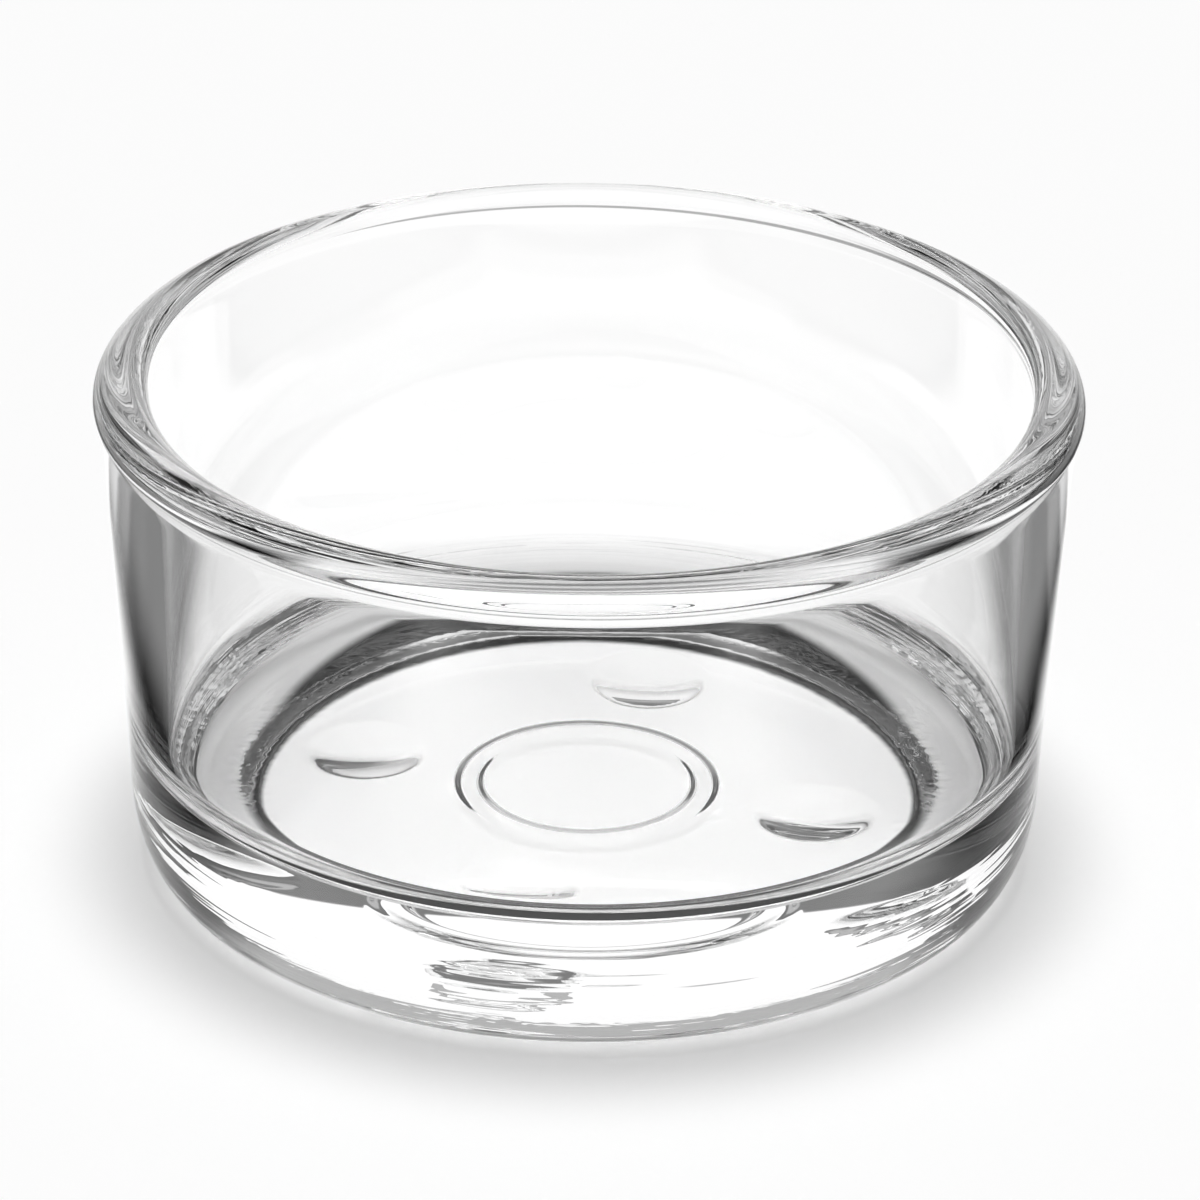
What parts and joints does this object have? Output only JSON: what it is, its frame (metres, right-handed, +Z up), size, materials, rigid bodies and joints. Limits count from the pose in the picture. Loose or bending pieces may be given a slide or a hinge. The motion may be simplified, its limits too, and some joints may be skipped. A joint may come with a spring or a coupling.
{
  "type": "tealight holder",
  "caption": "Small round bowl of clear pressed glass with a rolled rim, a thick base and a recessed underside with four low pips, which holds a tealight candle.",
  "frame": {"origin": "on the bowl's axis, on the surface that its foot ring stands on", "axes": "+Z up along the bowl's axis, out of its mouth; +X and +Y are level, and the first pip lies 74.6 degrees round from +X"},
  "size_m": [0.06, 0.06, 0.0318],
  "materials": {
    "clear_glass": "clear, fire-polished"
  },
  "bodies": {
    "root": {"glass_body": "clear_glass"}
  },
  "joints": []
}
